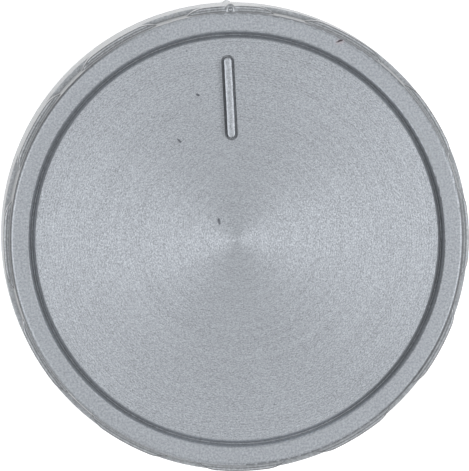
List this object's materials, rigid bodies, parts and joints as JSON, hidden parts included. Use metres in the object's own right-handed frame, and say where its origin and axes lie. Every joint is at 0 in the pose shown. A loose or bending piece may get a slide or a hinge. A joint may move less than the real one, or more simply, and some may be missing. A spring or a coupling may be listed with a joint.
{
  "type": "program selector knob",
  "caption": "Low round turning knob with a spun silver face, ring groove, grip pads round its edge, a pointer bar and a split hub inside for a flattened shaft",
  "frame": {"origin": "on the shaft axis, in the plane of the base ring that the knob stands on", "axes": "+Z leaves the face, +Y runs along the pointer bar from the axis outwards, +X to the right of the pointer"},
  "size_m": [0.0612, 0.0615, 0.0203],
  "materials": {
    "silver_paint": "metallic silver paint over moulded plastic, spun texture on the face",
    "pointer_paint": "metallic silver paint, smooth",
    "grey_moulding": "as moulded, satin",
    "spring_steel": "bright drawn wire"
  },
  "bodies": {
    "root": {"cap": "silver_paint", "pointer_bar": "pointer_paint", "hub_carrier": "grey_moulding", "hub_spring": "spring_steel"}
  },
  "joints": []
}
